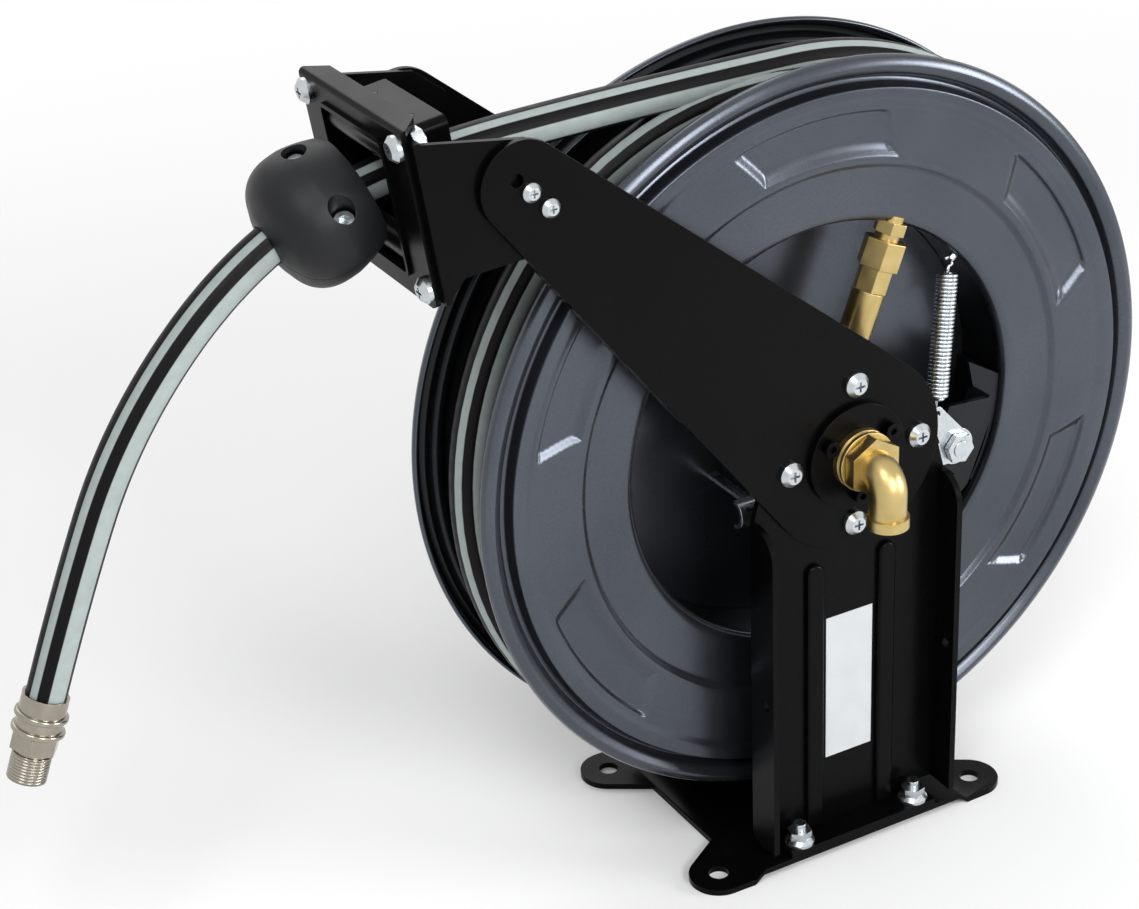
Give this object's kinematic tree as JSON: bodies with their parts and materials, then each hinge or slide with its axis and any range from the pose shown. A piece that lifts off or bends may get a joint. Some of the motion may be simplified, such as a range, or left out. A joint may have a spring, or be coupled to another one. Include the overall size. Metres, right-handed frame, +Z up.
{
  "type": "open spring-rewind hose reel",
  "caption": "Open steel hose reel with spring rewind, striped rubber hose on a drum between two pedestals, brass swivel inlet, roller guide and rubber stop ball.",
  "frame": {"origin": "centre of the four foot holes, on the floor", "axes": "+Z up, +Y along the drum shaft away from the inlet, hose and arms towards -X"},
  "size_m": [0.5551, 0.1557, 0.3966],
  "materials": {
    "frame_paint": "gloss black powder coat",
    "disc_paint": "metallic grey satin paint",
    "zinc": "bright zinc plate",
    "black_screw": "black oxide",
    "steel": "turned steel",
    "brass": "bright brass",
    "bronze": "sintered bronze",
    "label": "bare white film",
    "seal_rubber": "black nitrile",
    "hose_rubber": "black rubber with lighter stripes",
    "ball_rubber": "black moulded rubber",
    "nickel": "nickel plate",
    "roller_plastic": "black nylon"
  },
  "bodies": {
    "frame": {"base_plate": "frame_paint", "blank_label": "label", "flange_screws": "black_screw", "foot_nuts": "zinc", "foot_studs": "zinc", "front_arm": "frame_paint", "front_bearing_flange": "frame_paint", "front_guide_cheek": "frame_paint", "front_pedestal": "frame_paint", "guide_front_plate": "frame_paint", "guide_nuts": "zinc", "guide_screws": "zinc", "hose_end_nipple": "nickel", "hose_ferrule": "nickel", "hose_leader": "hose_rubber", "hub_nuts": "zinc", "hub_screws": "zinc", "ratchet_wheel": "zinc", "rear_arm": "frame_paint", "rear_bearing_flange": "frame_paint", "rear_guide_cheek": "frame_paint", "rear_pedestal": "frame_paint", "roller_cage": "frame_paint", "roller_pins": "zinc", "shaft": "steel", "shaft_end_cap": "frame_paint", "spring_arbor": "steel", "stop_ball_bolts": "zinc", "stop_ball_lower": "ball_rubber", "stop_ball_upper": "ball_rubber", "swivel_body": "brass"},
    "drum": {"front_disc": "disc_paint", "rear_disc": "disc_paint", "drum_core": "disc_paint", "drum_web": "disc_paint", "hub_sleeves": "steel", "hub_bushes": "bronze", "rotary_joint": "brass", "joint_seals": "seal_rubber", "outlet_sleeve": "brass", "union_nipple": "brass", "union_nut": "brass", "hose_tail": "brass", "spring_case": "disc_paint", "spring_cover": "disc_paint", "cover_screws": "zinc", "power_spring": "steel", "pawl_bracket": "disc_paint", "pawl_bolt": "zinc", "pawl_spring": "zinc", "spring_anchor": "zinc", "drum_clip": "zinc", "hose_winding": "hose_rubber"},
    "pawl": {"pawl": "zinc"},
    "inlet": {"inlet_elbow": "brass"},
    "upper_roller": {"upper_roller": "roller_plastic"},
    "lower_roller": {"lower_roller": "roller_plastic"},
    "front_roller": {"front_roller": "roller_plastic"},
    "rear_roller": {"rear_roller": "roller_plastic"}
  },
  "joints": [
    {"name": "drum_turn", "type": "hinge", "parent": "frame", "child": "drum", "pos_m": [0, 0, 0.2033], "axis": [0, 1, 0], "continuous": true},
    {"name": "pawl_swing", "type": "hinge", "parent": "drum", "child": "pawl", "pos_m": [0.0645, -0.0425, 0.1841], "axis": [0, 1, 0], "range_deg": [0, 22], "deforming": ["pawl_spring"]},
    {"name": "inlet_turn", "type": "hinge", "parent": "frame", "child": "inlet", "pos_m": [0, -0.0646, 0.2033], "axis": [0, 1, 0], "continuous": true},
    {"name": "upper_roller_turn", "type": "hinge", "parent": "frame", "child": "upper_roller", "pos_m": [-0.19658, 0, 0.37962], "axis": [0, 1, 0], "continuous": true},
    {"name": "lower_roller_turn", "type": "hinge", "parent": "frame", "child": "lower_roller", "pos_m": [-0.19053, 0, 0.33603], "axis": [0, 1, 0], "continuous": true},
    {"name": "front_roller_turn", "type": "hinge", "parent": "frame", "child": "front_roller", "pos_m": [-0.18187, -0.0165, 0.35945], "axis": [-0.1374, 0, 0.9905], "continuous": true},
    {"name": "rear_roller_turn", "type": "hinge", "parent": "frame", "child": "rear_roller", "pos_m": [-0.18187, 0.0165, 0.35945], "axis": [-0.1374, 0, 0.9905], "continuous": true}
  ]
}
